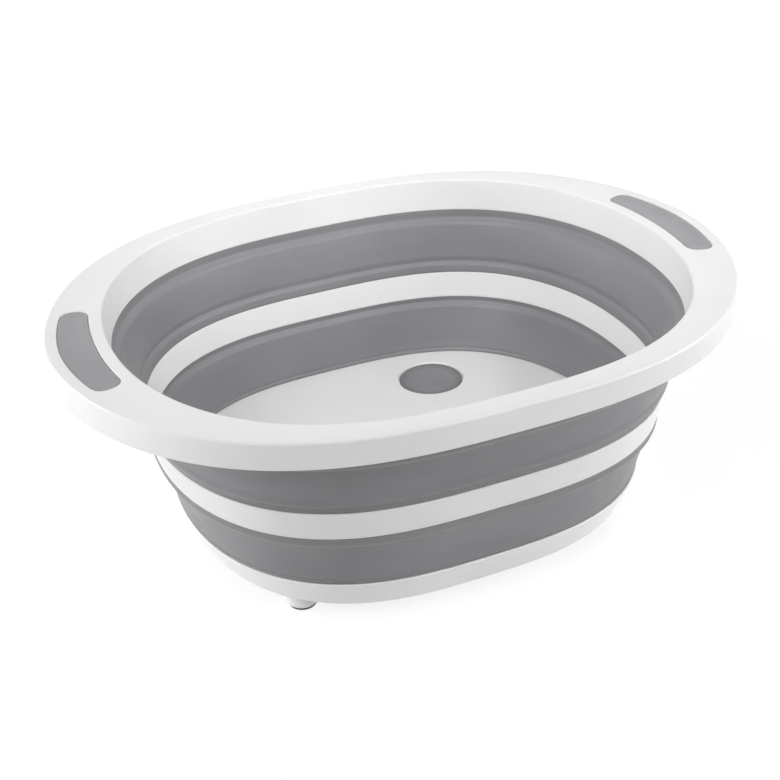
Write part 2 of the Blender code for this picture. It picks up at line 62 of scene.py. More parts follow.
# Rim frame. The two powers draw an oval's long sides and its ends, and an ellipse has 2 for both.
RIM_POWERS = (2.74, 1.85)
MOUTH_POWERS = (2.74, 2.10)
RIM_END_BAND = 0.0316
RIM_SIDE_BAND = 0.0132
SKIRT_HEIGHT = 0.0154
SKIRT_END_FLARE = 0.0014
SKIRT_SIDE_DRAFT = 0.0024
RIM_THICKNESS = 0.0023
RIM_WALL_THICKNESS = 0.0026
RIM_END_DRAFT = 0.0022
RIM_SIDE_DRAFT = 0.0036
RIM_OUTER_FILLET = 0.0012
THROAT_FILLET = 0.0008
RIM_INNER_FILLET = 0.0012
RIM_LIP = 0.0005
RIM_RIB_DEPTH = 0.0085
RIM_RIB_THICKNESS = 0.0016
RIM_END_RIB_SHARES = (-0.70, -0.48, 0.48, 0.70)
RIM_SIDE_RIB_SHARES = (-0.52, -0.18, 0.18, 0.52)

# Soft walls
WALL_THICKNESS = 0.0026
PANEL_BOW = 0.0010
# Up each wall: a share of its height, and how far in it stands there. It eases between them.
UPPER_PROFILE = ((0.0, 0.0002), (0.03, 0.0007), (0.105, 0.0007), (0.17, -0.0010),
                 (0.27, -0.0001), (0.76, 0.0003), (0.865, -0.0014), (1.0, -0.0004))
LOWER_PROFILE = ((0.0, 0.0009), (0.02, 0.0012), (0.05, 0.0004), (0.09, 0.0009),
                 (0.20, 0.0006), (0.80, 0.0003), (0.905, -0.0013), (1.0, -0.0003))
WALL_ROWS = 120

# Middle ring, whose inner face swells a little at its crown's height
MID_POWERS = (2.96, 2.14)
MID_THICKNESS = 0.0030
MID_END_DRAFT = 0.0024
MID_SIDE_DRAFT = 0.0025
MID_EDGE = 0.0005
MID_CROWN = 0.0003
MID_CROWN_SHARE = 0.62
MID_FACE_SHARES = (0.1, 0.3, MID_CROWN_SHARE, 0.8, 0.9)

# Base pan
BASE_POWERS = (2.92, 2.10)
BASE_HEIGHT = 0.0176
BASE_END_DRAFT = 0.0067
BASE_SIDE_DRAFT = 0.0062
BASE_EDGE = 0.0007
BASE_FACE_SHARES = (0.9, 0.5, 0.1)
SKIRT_THICKNESS = 0.0024
FLOOR_DROP = 0.0006
FLOOR_THICKNESS = 0.0024
BASE_RIB_DEPTH = 0.0080
BASE_RIB_THICKNESS = 0.0016
LENGTHWISE_RIB_SHARES = (-0.42, 0.0, 0.42)
CROSSWISE_RIB_SHARES = (-0.60, -0.20, 0.20, 0.60)
FOOT_RADIUS = 0.0085
FOOT_FILLET = 0.0012
PAD_THICKNESS = 0.0013
PAD_STEM_RADIUS = 0.0024
PAD_EDGE = 0.0005

# Drain and plug. The disc is trimmed inside its packed box, and its last stretch gets a painted
# shade.
PLUG_TRIM = 0.0003
PLUG_CLEARANCE = 0.0006
PLUG_PAINTED_SHADE_REACH = 0.0060
PLUG_PAINTED_SHADE = (0.185, 0.182, 0.19)
PLUG_DISC = 0.0019
PLUG_RECESS = 0.0029
PLUG_DISH = 0.0018
PLUG_RIM = 0.0011
PLUG_EDGE = 0.0004
BUNG_RADIUS = 0.0166
BUNG_TAPER = 0.0006
BUNG_WALL = 0.0024
COLLAR_WALL = 0.0030
COLLAR_DEPTH = 0.0062
RECESS_EDGE = 0.0008

# Grips and their pockets. The end lean keeps a grip's slanting ends inside its packed box.
GRIP_INNER_MARGIN = 0.0069
GRIP_OUTER_MARGIN = 0.0067
GRIP_END_REACH = 0.0080
GRIP_OUTER_POWER = 2.6
GRIP_INNER_POWER = 2.4
GRIP_END_LEAN = 0.0001
GRIP_NUDGE = 0.0001
GRIP_EDGE = 0.0006
GRIP_DISH = 0.0007
GRIP_DISH_REACH = 0.0066
GRIP_DISH_STEPS = 8
GRIP_CLEARANCE = 0.0001
POCKET_DEPTH = 0.0026
POCKET_FLOOR = 0.0018
POCKET_BORDER = 0.0020
POCKET_EDGE = 0.0004

# The gap at a bond, how far a cut runs past a face, and the flat that is kept beside a fillet
GAP = 0.0003
OVERRUN = 0.0010
SUPPORT = 0.0005

# How finely the meshes are drawn
SEGMENTS = 288
TURN_STEPS = 96
FILLET_STEPS = 6
STIFF_EDGE_STEPS = 3
SOFT_EDGE_STEPS = 4
GRIP_STEPS = 40
DISH_RINGS = 20
DISH_POWER = 3.2
RADIUS_ROUNDS = 12
SHARP_ANGLE = 32
FLATS_WEIGHT = 100

RIM_TOP = RIM_HIGH.z
RIM_BOTTOM = RIM_LOW.z
BASE_TOP = BASE_HIGH.z
BASE_BOTTOM = BASE_TOP - BASE_HEIGHT
FLOOR_LEVEL = BASE_TOP - FLOOR_DROP
FLOOR_UNDERSIDE = FLOOR_LEVEL - FLOOR_THICKNESS
FLOOR_INSIDE = FLOOR_UNDERSIDE + FLOOR_THICKNESS / 2


class Oval(namedtuple("Oval", "half_length half_width side_power end_power")):
    """The plan of every ring: an ellipse with long sides and ends made flatter or rounder."""

    def grown(self, along, across=None):
        across = along if across is None else across
        return self._replace(half_length=self.half_length + along,
                             half_width=self.half_width + across)

    def radius(self, bearing):
        """The distance to the oval on this bearing, closed in on round by round."""
        p, q = self.side_power, self.end_power
        found = self.half_width
        for _ in range(RADIUS_ROUNDS):
            along = abs(found * math.cos(bearing) / self.half_length) ** p
            across = abs(found * math.sin(bearing) / self.half_width) ** q
            found *= (along + across) ** (-2 / (p + q))
        return found

    def reach_along(self, y):
        """How far the oval reaches along X at this Y."""
        left = 1 - min(1.0, abs(y) / self.half_width) ** self.end_power
        return self.half_length * left ** (1 / self.side_power)

    def reach_across(self, x):
        """How far the oval reaches along Y at this X."""
        left = 1 - min(1.0, abs(x) / self.half_length) ** self.side_power
        return self.half_width * left ** (1 / self.end_power)

    def section(self, z):
        """The oval's points at one height."""
        points = []
        for step in range(SEGMENTS):
            bearing = 2 * math.pi * step / SEGMENTS
            radius = self.radius(bearing)
            points.append((radius * math.cos(bearing), radius * math.sin(bearing), z))
        return points


def between(low, high, share):
    """The oval at a share of the way from one oval to another."""
    return Oval(*[a + (b - a) * share for a, b in zip(low, high)])


RIM_OUTER_TOP = Oval(RIM_HIGH.x - SKIRT_END_FLARE, RIM_HIGH.y, *RIM_POWERS)
RIM_OUTER_BOTTOM = RIM_OUTER_TOP.grown(SKIRT_END_FLARE, -SKIRT_SIDE_DRAFT)
MOUTH = Oval(RIM_OUTER_TOP.half_length - RIM_END_BAND, RIM_OUTER_TOP.half_width - RIM_SIDE_BAND,
             *MOUTH_POWERS)
THROAT = MOUTH.grown(-RIM_END_DRAFT, -RIM_SIDE_DRAFT)
MID_OUTER_TOP = Oval(MID_HIGH.x, MID_HIGH.y, *MID_POWERS)
MID_OUTER_BOTTOM = MID_OUTER_TOP.grown(-MID_END_DRAFT, -MID_SIDE_DRAFT)
BASE_OUTER_TOP = Oval(BASE_HIGH.x, BASE_HIGH.y, *BASE_POWERS)
BASE_OUTER_BOTTOM = BASE_OUTER_TOP.grown(-BASE_END_DRAFT, -BASE_SIDE_DRAFT)
FLOOR_EDGE = BASE_OUTER_TOP.grown(-SKIRT_THICKNESS)
DRAIN = (PLUG_LOW + PLUG_HIGH) / 2
PLUG_RADIUS = (PLUG_HIGH.x - PLUG_LOW.x) / 2 - PLUG_TRIM
FOOT_CENTRES = [(Vector(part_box(name)[0]) + Vector(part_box(name)[1])) / 2 for name in FOOT_NAMES]


# Materials. Each noise has a scale and a detail. The gloss swing is how far the roughness strays,
# and the ripple share is how many times deeper the slow ripple is than the fine grain.

Surface = namedtuple("Surface", "cloud stretch gloss gloss_swing ripple ripple_share grain "
                                "ior sheen sheen_roughness")
PLASTIC = Surface(cloud=(22.0, 3.0), stretch=(1.0, 1.0, 1.0), gloss=(60.0, 4.0),
                  gloss_swing=(-0.05, 0.06), ripple=(12.0, 1.0), ripple_share=8,
                  grain=(2600.0, 2.0), ior=1.49, sheen=0.0, sheen_roughness=0.5)
RUBBER = Surface(cloud=(18.0, 5.0), stretch=(1.0, 1.0, 2.5), gloss=(90.0, 4.0),
                 gloss_swing=(-0.06, 0.06), ripple=(30.0, 2.0), ripple_share=6,
                 grain=(1900.0, 3.0), ior=1.46, sheen=0.08, sheen_roughness=0.5)
NOISE_MIDDLE = (0.3, 0.7)


def new_material(name):
    material = bpy.data.materials.new(name)
    material.use_nodes = True
    tree = material.node_tree
    return material, tree, tree.nodes["Principled BSDF"]


def object_place(tree, stretch, shift=(0.0, 0.0, 0.0)):
    """The object's own coordinates, so that a pattern moves with its piece."""
    place = tree.nodes.new("ShaderNodeTexCoord")
    mapping = tree.nodes.new("ShaderNodeMapping")
    mapping.inputs["Location"].default_value = shift
    mapping.inputs["Scale"].default_value = stretch
    tree.links.new(place.outputs["Object"], mapping.inputs["Vector"])
    return mapping.outputs["Vector"]


def noise(tree, scale, detail, stretch=(1.0, 1.0, 1.0)):
    texture = tree.nodes.new("ShaderNodeTexNoise")
    texture.inputs["Scale"].default_value = scale
    texture.inputs["Detail"].default_value = detail
    tree.links.new(object_place(tree, stretch), texture.inputs["Vector"])
    return texture.outputs["Fac"]


def level_distance(tree, x, y):
    """How far a point of the surface is from the upright line through this place."""
    length = tree.nodes.new("ShaderNodeVectorMath")
    length.operation = "LENGTH"
    tree.links.new(object_place(tree, (1.0, 1.0, 0.0), (-x, -y, 0.0)), length.inputs[0])
    return length.outputs["Value"]


def spread(tree, value, low, high, start, end):
    """Low up to where the value is start, high from where it is end on, and even between."""
    ramp = tree.nodes.new("ShaderNodeMapRange")
    ramp.inputs["From Min"].default_value = start
    ramp.inputs["From Max"].default_value = end
    ramp.inputs["To Min"].default_value = low
    ramp.inputs["To Max"].default_value = high
    tree.links.new(value, ramp.inputs["Value"])
    return ramp.outputs["Result"]


def blend_colours(tree, factor, first, second):
    """Mix from the first colour, or socket that gives one, to the second colour."""
    mix = tree.nodes.new("ShaderNodeMix")
    mix.data_type = "RGBA"
    if isinstance(first, tuple):
        mix.inputs["A"].default_value = (*first, 1.0)
    else:
        tree.links.new(first, mix.inputs["A"])
    mix.inputs["B"].default_value = (*second, 1.0)
    tree.links.new(factor, mix.inputs["Factor"])
    return mix.outputs["Result"]


def bumps(tree, shader, layers):
    """Stack bump layers of (height, depth in metres)."""
    normal = None
    for height, depth in layers:
        bump = tree.nodes.new("ShaderNodeBump")
        bump.inputs["Strength"].default_value = 1.0
        bump.inputs["Distance"].default_value = depth
        tree.links.new(height, bump.inputs["Height"])
        if normal is not None:
            tree.links.new(normal, bump.inputs["Normal"])
        normal = bump.outputs["Normal"]
    tree.links.new(normal, shader.inputs["Normal"])


def moulded(name, surface, light, dark, roughness, grain_depth):
    """A moulded material: cloudy tone, uneven gloss, a slow ripple and a fine grain."""
    material, tree, shader = new_material(name)
    cloud = spread(tree, noise(tree, *surface.cloud, surface.stretch), 0.0, 1.0, *NOISE_MIDDLE)
    tree.links.new(blend_colours(tree, cloud, light, dark), shader.inputs["Base Color"])
    least, most = (roughness + swing for swing in surface.gloss_swing)
    gloss = spread(tree, noise(tree, *surface.gloss), least, most, *NOISE_MIDDLE)
    tree.links.new(gloss, shader.inputs["Roughness"])
    bumps(tree, shader, ((noise(tree, *surface.ripple), grain_depth * surface.ripple_share),
                         (noise(tree, *surface.grain), grain_depth)))
    shader.inputs["IOR"].default_value = surface.ior
    shader.inputs["Sheen Weight"].default_value = surface.sheen
    shader.inputs["Sheen Roughness"].default_value = surface.sheen_roughness
    return material


def paint_edge_shade(material, centre, radius, reach, colour):
    """Paint shade into a round piece's colour, deepening over its last stretch."""
    tree = material.node_tree
    socket = tree.nodes["Principled BSDF"].inputs["Base Color"]
    distance = level_distance(tree, centre.x, centre.y)
    factor = spread(tree, distance, 0.0, 1.0, radius - reach, radius)
    tree.links.new(blend_colours(tree, factor, socket.links[0].from_socket, colour), socket)


WHITE = moulded("white_polypropylene", PLASTIC, light=(0.86, 0.86, 0.86),
                dark=(0.83, 0.83, 0.835), roughness=0.36, grain_depth=0.00001)
# Painted light: a lighter copy of the white for the base pan, brightening its downward-facing
# skirt.
BASE_WHITE_PAINTED_LIGHT = moulded("base_white_painted_light", PLASTIC, light=(0.90, 0.90, 0.90),
                     dark=(0.87, 0.87, 0.875), roughness=0.36, grain_depth=0.00001)
GREY = moulded("grey_soft_rubber", RUBBER, light=(0.245, 0.238, 0.25),
               dark=(0.215, 0.21, 0.22), roughness=0.46, grain_depth=0.00002)
GRIP_GREY = moulded("grey_grip_rubber", RUBBER, light=(0.312, 0.307, 0.322),
                    dark=(0.285, 0.28, 0.295), roughness=0.55, grain_depth=0.00003)
PLUG_GREY = moulded("grey_plug_rubber", RUBBER, light=(0.285, 0.28, 0.292),
                    dark=(0.255, 0.25, 0.262), roughness=0.48, grain_depth=0.00002)
DARK = moulded("dark_foot_rubber", RUBBER, light=(0.055, 0.055, 0.058),
               dark=(0.04, 0.04, 0.042), roughness=0.65, grain_depth=0.00003)
# Painted shade: the plug's colour darkens towards its edge.
paint_edge_shade(PLUG_GREY, DRAIN, PLUG_RADIUS, PLUG_PAINTED_SHADE_REACH, PLUG_PAINTED_SHADE)


# Mesh building

def link_piece(mesh, material=None):
    """Put a mesh in the scene as a piece of the same name."""
    piece = bpy.data.objects.new(mesh.name, mesh)
    bpy.context.scene.collection.objects.link(piece)
    if material is not None:
        mesh.materials.append(material)
    return piece


def keep_mesh(name, work):
    mesh = bpy.data.meshes.new(name)
    work.to_mesh(mesh)
    work.free()
    return mesh


def loft_mesh(name, lofts, closing):
    """Skin separate lofts of sections with equal counts. closing is ring, caps or open."""
    work = bmesh.new()
    for sections in lofts:
        rows = [[work.verts.new(point) for point in section] for section in sections]
        pairs = list(zip(rows, rows[1:]))
        if closing == "ring":
            pairs.append((rows[-1], rows[0]))
        for low, high in pairs:
            for step in range(len(low)):
                ahead = (step + 1) % len(low)
                work.faces.new((low[step], low[ahead], high[ahead], high[step]))
        if closing == "caps":
            work.faces.new(rows[0][::-1])
            work.faces.new(rows[-1])
    bmesh.ops.recalc_face_normals(work, faces=work.faces)
    return keep_mesh(name, work)


def boxes_mesh(name, corners):
    work = bmesh.new()
    for low, high in corners:
        low, high = Vector(low), Vector(high)
        place = Matrix.Translation((low + high) / 2) @ Matrix.Diagonal((*(high - low), 1.0))
        bmesh.ops.create_cube(work, size=1.0, matrix=place)
    return keep_mesh(name, work)


def turned_mesh(name, profile, centres):
    """Turn one profile, which starts and ends on the axis, into a solid at each centre."""
    work = bmesh.new()
    turns = [2 * math.pi * step / TURN_STEPS for step in range(TURN_STEPS)]
    for x, y, _ in centres:
        rows = []
        for radius, z in profile:
            points = [(x + radius * math.cos(turn), y + radius * math.sin(turn), z)
                      for turn in (turns if radius else turns[:1])]
            rows.append([work.verts.new(point) for point in points])
        for low, high in zip(rows, rows[1:]):
            for step in range(TURN_STEPS):
                ahead = (step + 1) % TURN_STEPS
                corners = [low[step % len(low)], low[ahead % len(low)],
                           high[ahead % len(high)], high[step % len(high)]]
                work.faces.new(list(dict.fromkeys(corners)))
    bmesh.ops.recalc_face_normals(work, faces=work.faces)
    return keep_mesh(name, work)


def ease(share):
    """From 0 to 1, slowly at both ends."""
    share = min(1.0, max(0.0, share))
    return share * share * (3 - 2 * share)


def smooth(mesh):
    mesh.shade_smooth()
    mesh.set_sharp_from_angle(angle=math.radians(SHARP_ANGLE))


def smooth_cut(piece):
    """Smooth a piece that has been cut, and keep its flats level beside the cuts' rounded edges."""
    smooth(piece.data)
    weighted = piece.modifiers.new("level_flats", "WEIGHTED_NORMAL")
    weighted.keep_sharp = True
    weighted.weight = FLATS_WEIGHT


def carve(piece, mesh, operation):
    """Join or cut a piece with another mesh at once, and leave no modifier behind."""
    other = link_piece(mesh)
    boolean = piece.modifiers.new("carve", "BOOLEAN")
    boolean.operation = operation
    boolean.object = other
    carved = piece.evaluated_get(bpy.context.evaluated_depsgraph_get())
    result = bpy.data.meshes.new_from_object(carved)
    piece.modifiers.clear()
    piece.data = result
    bpy.data.objects.remove(other)


def fillet(radius, steps=FILLET_STEPS):
    """Steps round an upper outer corner: how far in from the side, and down from the top."""
    turns = [math.pi / 2 * step / steps for step in range(steps + 1)]
    return [(radius * (1 - math.cos(turn)), radius * (1 - math.sin(turn))) for turn in turns]


def rounded_edge(side, top_z, radius, direction):
    """Sections over a side's rounded upper edge, with a loop that keeps the top beside it flat."""
    sections = [side.grown(-direction * inset).section(top_z - drop)
                for inset, drop in fillet(radius)]
    sections.append(side.grown(-direction * (radius + SUPPORT)).section(top_z))
    return sections


def finish_piece(piece, node, body):
    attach(piece, body)
    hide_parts(node)


# Rim

def rim_sections():
    """Round the rim's section: up its inner wall, over its top, down its skirt and back inside."""
    lip = reversed(fillet(THROAT_FILLET))
    sections = [THROAT.grown(inset).section(RIM_BOTTOM + drop) for inset, drop in lip]
    sections += rounded_edge(MOUTH, RIM_TOP, RIM_INNER_FILLET, -1)
    sections += rounded_edge(RIM_OUTER_TOP, RIM_TOP, RIM_OUTER_FILLET, 1)[::-1]
    skirt_bottom = RIM_TOP - SKIRT_HEIGHT
    skirt_middle = between(RIM_OUTER_TOP, RIM_OUTER_BOTTOM, 0.5)
    sections += [
        skirt_middle.section((RIM_TOP + skirt_bottom) / 2),
        RIM_OUTER_BOTTOM.section(skirt_bottom + RIM_LIP),
        RIM_OUTER_BOTTOM.grown(-RIM_LIP).section(skirt_bottom),
        RIM_OUTER_BOTTOM.grown(RIM_LIP - RIM_THICKNESS).section(skirt_bottom),
        RIM_OUTER_BOTTOM.grown(-RIM_THICKNESS).section(skirt_bottom + RIM_LIP),
        RIM_OUTER_TOP.grown(-RIM_THICKNESS).section(RIM_TOP - RIM_THICKNESS),
        MOUTH.grown(RIM_WALL_THICKNESS).section(RIM_TOP - RIM_THICKNESS),
        THROAT.grown(RIM_WALL_THICKNESS).section(RIM_BOTTOM),
    ]
    return sections


def rib_end(outer_faces, thickness, reach, place, half):
    """Halfway into a wall, so that a rib's end lies inside it over all its height and thickness."""
    outer = min(reach(face, abs(place) + half) for face in outer_faces)
    inner = max(reach(face.grown(-thickness), abs(place) - half) for face in outer_faces)
    return (outer + inner) / 2


def rim_rib_corners():
    """The lowest and highest corners of every rib under the rim."""
    high = RIM_TOP - RIM_THICKNESS / 2
    low = high - RIM_RIB_DEPTH
    half = RIM_RIB_THICKNESS / 2
    skirt_low = between(RIM_OUTER_TOP, RIM_OUTER_BOTTOM, (RIM_TOP - low) / SKIRT_HEIGHT)
    skirt = (RIM_OUTER_TOP, skirt_low)
    wall_low = between(THROAT, MOUTH, (low - RIM_BOTTOM) / (RIM_TOP - RIM_BOTTOM))
    wall = (MOUTH.grown(RIM_WALL_THICKNESS), wall_low.grown(RIM_WALL_THICKNESS))
    corners = []
    for side in (-1, 1):
        for share in RIM_END_RIB_SHARES:
            y = share * MOUTH.half_width
            near = rib_end(wall, RIM_WALL_THICKNESS, Oval.reach_along, y, half)
            far = rib_end(skirt, RIM_THICKNESS, Oval.reach_along, y, half)
            ends = sorted((side * near, side * far))
            corners.append(((ends[0], y - half, low), (ends[1], y + half, high)))
        for share in RIM_SIDE_RIB_SHARES:
            x = share * MOUTH.half_length
            near = rib_end(wall, RIM_WALL_THICKNESS, Oval.reach_across, x, half)
            far = rib_end(skirt, RIM_THICKNESS, Oval.reach_across, x, half)
            ends = sorted((side * near, side * far))
            corners.append(((x - half, ends[0], low), (x + half, ends[1], high)))
    return corners


def grip_section(side, spare, z):
    """A band along the rim's end, its rounded ends square to it, grown by a spare all round."""
    half_length = GRIP_HIGH.y - GRIP_END_LEAN + spare
    near = MOUTH.grown(GRIP_INNER_MARGIN - spare)
    far = RIM_OUTER_TOP.grown(spare - GRIP_OUTER_MARGIN)

    def middle(y):
        return (near.reach_along(y) + far.reach_along(y)) / 2

    edges = []
    for outward, power in ((1, GRIP_OUTER_POWER), (-1, GRIP_INNER_POWER)):
        edge = []
        for step in range(-GRIP_STEPS, GRIP_STEPS + 1):
            y = half_length * math.sin(math.pi / 2 * step / GRIP_STEPS)
            slope = (middle(y + GRIP_NUDGE) - middle(y - GRIP_NUDGE)) / (2 * GRIP_NUDGE)
            half = (far.reach_along(y) - near.reach_along(y)) / 2
            into_end = min(1.0, max(0.0, (abs(y) - half_length) / GRIP_END_REACH + 1))
            half *= outward * (1 - into_end ** power) ** (1 / power) / (1 + slope * slope)
            edge.append((side * (middle(y) + half), y - half * slope, z))
        edges.append(edge)
    outer, inner = edges
    return outer + inner[-2:0:-1]


def add_rim():
    piece = link_piece(loft_mesh("rim_frame_fine", [rim_sections()], "ring"), WHITE)
    carve(piece, boxes_mesh("rim_ribs", rim_rib_corners()), "UNION")
    pocket_level = RIM_TOP - POCKET_DEPTH
    border = GAP + POCKET_BORDER
    wide = GRIP_CLEARANCE + POCKET_EDGE
    for side in (-1, 1):
        tray = [grip_section(side, border, pocket_level - POCKET_FLOOR),
                grip_section(side, border, RIM_TOP - RIM_THICKNESS / 2)]
        carve(piece, loft_mesh("tray", [tray], "caps"), "UNION")
        pocket = [grip_section(side, GRIP_CLEARANCE, pocket_level),
                  grip_section(side, GRIP_CLEARANCE, RIM_TOP - POCKET_EDGE),
                  grip_section(side, wide, RIM_TOP),
                  grip_section(side, wide, RIM_TOP + OVERRUN)]
        carve(piece, loft_mesh("pocket", [pocket], "caps"), "DIFFERENCE")
    smooth_cut(piece)
    finish_piece(piece, "rim_frame", "rim")


def add_grip(side, node):
    """A grip that fills its pocket, with rounded edges and a shallow dish along its top."""
    low, high = GRIP_LOW.z, GRIP_HIGH.z
    sections = [grip_section(side, 0, low)]
    sections += [grip_section(side, -inset, high - drop)
                 for inset, drop in fillet(GRIP_EDGE, SOFT_EDGE_STEPS)]
    for step in range(1, GRIP_DISH_STEPS + 1):
        share = step / GRIP_DISH_STEPS
        inset = GRIP_EDGE + GRIP_DISH_REACH * share
        sections.append(grip_section(side, -inset, high - GRIP_DISH * ease(share)))
    mesh = loft_mesh(node + "_fine", [sections], "caps")
    smooth(mesh)
    finish_piece(link_piece(mesh, GRIP_GREY), node, "rim")


# Middle ring

def add_mid_ring():
    """A band with rounded edges: up its outer face, and down its inner one."""
    low, high = MID_LOW.z, MID_HIGH.z
    edge = fillet(MID_EDGE, STIFF_EDGE_STEPS)
    sections = []
    for outward, thickness in ((1, 0), (-1, -MID_THICKNESS)):
        bottom, top = MID_OUTER_BOTTOM.grown(thickness), MID_OUTER_TOP.grown(thickness)
        face = [bottom.grown(-outward * inset).section(low + drop)
                for inset, drop in reversed(edge)]
        for share in MID_FACE_SHARES:
            crown = MID_CROWN if outward < 0 and share == MID_CROWN_SHARE else 0
            line = between(bottom, top, share).grown(-crown)
            face.append(line.section(low + (high - low) * share))
        face += [top.grown(-outward * inset).section(high - drop) for inset, drop in edge]
        sections += face if outward > 0 else face[::-1]
    mesh = loft_mesh("mid_ring_fine", [sections], "ring")
    smooth(mesh)
    finish_piece(link_piece(mesh, WHITE), "mid_ring", "middle")


# Soft walls

def stands_in(share, profile):
    """How far in the wall stands at a share of its height, by its strips, steps and slight bow."""
    bow = PANEL_BOW * math.sin(math.pi * share)
    for (low, low_in), (high, high_in) in zip(profile, profile[1:]):
        if share <= high:
            return bow + low_in + (high_in - low_in) * ease((share - low) / (high - low))


def add_wall(node, low_line, high_line, low_z, high_z, profile):
    """A soft wall as one sheet between two rings, and thickened."""
    sections = []
    for row in range(WALL_ROWS + 1):
        share = row / WALL_ROWS
        line = between(low_line, high_line, share).grown(-stands_in(share, profile))
        sections.append(line.section(low_z + (high_z - low_z) * share))
    mesh = loft_mesh(node + "_fine", [sections], "open")
    mesh.shade_smooth()
    piece = link_piece(mesh, GREY)
    thickness = piece.modifiers.new("thickness", "SOLIDIFY")
    thickness.thickness = WALL_THICKNESS
    thickness.offset = 0.0
    thickness.use_even_offset = False
    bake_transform(piece)
    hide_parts(node)


def add_walls():
    """Each wall runs between the middles of its two rings' thicknesses."""
    base_line = BASE_OUTER_TOP.grown(-SKIRT_THICKNESS / 2)
    mid_bottom_line = MID_OUTER_BOTTOM.grown(-MID_THICKNESS / 2)
    mid_top_line = MID_OUTER_TOP.grown(-MID_THICKNESS / 2)
    rim_line = THROAT.grown(RIM_WALL_THICKNESS / 2)
    add_wall("lower_wall", base_line, mid_bottom_line, BASE_TOP, MID_LOW.z, LOWER_PROFILE)
    add_wall("upper_wall", mid_top_line, rim_line, MID_HIGH.z, RIM_BOTTOM, UPPER_PROFILE)


# Base pan

def base_sections():
    """From the floor over the edge, down the skirt and back under the floor."""
    cove, edge = fillet(FLOOR_DROP), fillet(BASE_EDGE, STIFF_EDGE_STEPS)
    sections = [FLOOR_EDGE.grown(-FLOOR_DROP - SUPPORT).section(FLOOR_LEVEL)]
    sections += [FLOOR_EDGE.grown(-drop).section(FLOOR_LEVEL + inset)
                 for inset, drop in reversed(cove)]
    sections += [BASE_OUTER_TOP.grown(-inset).section(BASE_TOP - drop)
                 for inset, drop in reversed(edge)]
    for share in BASE_FACE_SHARES:
        face = between(BASE_OUTER_BOTTOM, BASE_OUTER_TOP, share)
        sections.append(face.section(BASE_BOTTOM + BASE_HEIGHT * share))
    sections += [BASE_OUTER_BOTTOM.grown(-inset).section(BASE_BOTTOM + drop)
                 for inset, drop in edge]
    sections.append(BASE_OUTER_BOTTOM.grown(-SKIRT_THICKNESS).section(BASE_BOTTOM))
    underside_share = (FLOOR_UNDERSIDE - BASE_BOTTOM) / BASE_HEIGHT
    inner_top = between(BASE_OUTER_BOTTOM, BASE_OUTER_TOP, underside_share)
    sections.append(inner_top.grown(-SKIRT_THICKNESS).section(FLOOR_UNDERSIDE))
    return sections


def base_ribs(lengthwise, shares):
    """Ribs under the floor, whose ends lean with the skirt and lie inside its thickness."""
    half = BASE_RIB_THICKNESS / 2
    ribs = []
    for share in shares:
        sections = []
        for z in (FLOOR_UNDERSIDE - BASE_RIB_DEPTH, FLOOR_INSIDE):
            face = between(BASE_OUTER_BOTTOM, BASE_OUTER_TOP, (z - BASE_BOTTOM) / BASE_HEIGHT)
            if lengthwise:
                y = share * BASE_OUTER_BOTTOM.half_width
                x = rib_end((face,), SKIRT_THICKNESS, Oval.reach_along, y, half)
                sections.append([(-x, y - half, z), (x, y - half, z),
                                 (x, y + half, z), (-x, y + half, z)])
            else:
                x = share * BASE_OUTER_BOTTOM.half_length
                y = rib_end((face,), SKIRT_THICKNESS, Oval.reach_across, x, half)
                sections.append([(x - half, -y, z), (x + half, -y, z),
                                 (x + half, y, z), (x - half, y, z)])
        ribs.append(sections)
    return ribs


def foot_stub_profile():
    low = BASE_LOW.z
    profile = [(0, FLOOR_INSIDE), (FOOT_RADIUS, FLOOR_INSIDE)]
    profile += [(FOOT_RADIUS - inset, low + drop) for inset, drop in fillet(FOOT_FILLET)]
    profile.append((0, low))
    return profile


def add_base():
    piece = link_piece(loft_mesh("base_pan_fine", [base_sections()], "caps"), BASE_WHITE_PAINTED_LIGHT)
    lengthwise = base_ribs(True, LENGTHWISE_RIB_SHARES)
    crosswise = base_ribs(False, CROSSWISE_RIB_SHARES)
    carve(piece, loft_mesh("lengthwise_ribs", lengthwise, "caps"), "UNION")
    carve(piece, loft_mesh("crosswise_ribs", crosswise, "caps"), "UNION")
    carve(piece, turned_mesh("foot_stubs", foot_stub_profile(), FOOT_CENTRES), "UNION")
    recess = PLUG_RADIUS + PLUG_CLEARANCE
    collar_radius, collar_low = recess + COLLAR_WALL, FLOOR_UNDERSIDE - COLLAR_DEPTH
    collar = [(0, FLOOR_INSIDE), (collar_radius, FLOOR_INSIDE), (collar_radius, collar_low),
              (0, collar_low)]
    carve(piece, turned_mesh("drain_collar", collar, [DRAIN]), "UNION")
    hole, seat = BUNG_RADIUS + GAP, FLOOR_LEVEL - PLUG_RECESS
    mouth = recess + RECESS_EDGE
    drain = [(0, FLOOR_LEVEL + OVERRUN), (mouth, FLOOR_LEVEL + OVERRUN)]
    drain += [(mouth - inset, FLOOR_LEVEL - RECESS_EDGE + drop)
              for inset, drop in fillet(RECESS_EDGE, STIFF_EDGE_STEPS)]
    drain += [(recess, seat), (hole, seat), (hole, collar_low - OVERRUN),
              (0, collar_low - OVERRUN)]
    carve(piece, turned_mesh("drain", drain, [DRAIN]), "DIFFERENCE")
    smooth_cut(piece)
    finish_piece(piece, "base_pan", "base")


def add_feet():
    """A pad on the ground under each stub, with the stem that holds it."""
    for name, centre in zip(FOOT_NAMES, FOOT_CENTRES):
        low, high = (Vector(corner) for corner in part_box(name))
        radius = (high.x - low.x) / 2
        profile = [(0, high.z), (PAD_STEM_RADIUS, high.z), (PAD_STEM_RADIUS, PAD_THICKNESS),
                   (radius, PAD_THICKNESS)]
        profile += [(radius - inset, low.z + drop)
                    for inset, drop in fillet(PAD_EDGE, SOFT_EDGE_STEPS)]
        profile.append((0, low.z))
        mesh = turned_mesh(name + "_fine", profile, [centre])
        smooth(mesh)
        finish_piece(link_piece(mesh, DARK), name, "base")


